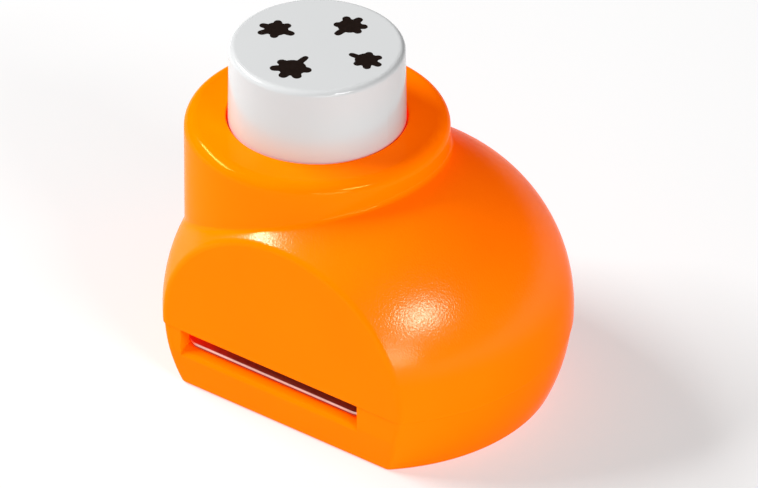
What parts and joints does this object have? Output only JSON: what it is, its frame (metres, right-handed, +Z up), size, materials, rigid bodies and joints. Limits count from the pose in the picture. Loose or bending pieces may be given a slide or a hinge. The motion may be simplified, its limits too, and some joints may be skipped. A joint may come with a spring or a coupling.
{
  "type": "leaf craft punch",
  "caption": "Hand-held craft punch: domed body with a flat slotted front and a sprung round push button that drives leaf-shaped cutters through paper.",
  "frame": {"origin": "on the ground, on the vertical axis of the round body", "axes": "+Z up, out of the push button; the flat slotted front faces -Y; the button stands to the -X side"},
  "size_m": [0.053, 0.0449, 0.0461],
  "materials": {
    "orange_shell": "satin moulded plastic, fine texture on the dome",
    "white_cap": "smooth glossy moulded plastic",
    "white_stem": "plain moulded plastic",
    "hard_steel": "blanked and deburred",
    "cutter_steel": "ground flanks",
    "plate_steel": "ground faces, bright sheared edges",
    "spring_wire": "drawn wire",
    "screw_steel": "bright zinc plate"
  },
  "bodies": {
    "body": {"top_housing": "orange_shell", "base_tray": "orange_shell", "die_plate": "plate_steel", "guide_plate": "plate_steel", "paper_stop": "plate_steel", "spacer_strip": "plate_steel", "return_spring": "spring_wire", "spring_seat": "hard_steel", "die_screws": "screw_steel", "dowel_pins": "screw_steel", "housing_screws": "screw_steel"},
    "plunger": {"push_button": "white_cap", "plunger_stem": "white_stem", "backing_disc": "hard_steel", "punch_holder": "hard_steel", "leaf_punch_right": "cutter_steel", "leaf_punch_rear": "cutter_steel", "leaf_punch_left": "cutter_steel", "leaf_punch_front": "cutter_steel", "button_screws": "screw_steel"}
  },
  "joints": [
    {"name": "button_press", "type": "slide", "parent": "body", "child": "plunger", "axis": [0, 0, -1], "range_m": [0, 0.005], "stiffness_N_per_m": 1000, "springref_m": -0.004, "deforming": ["return_spring"]}
  ]
}
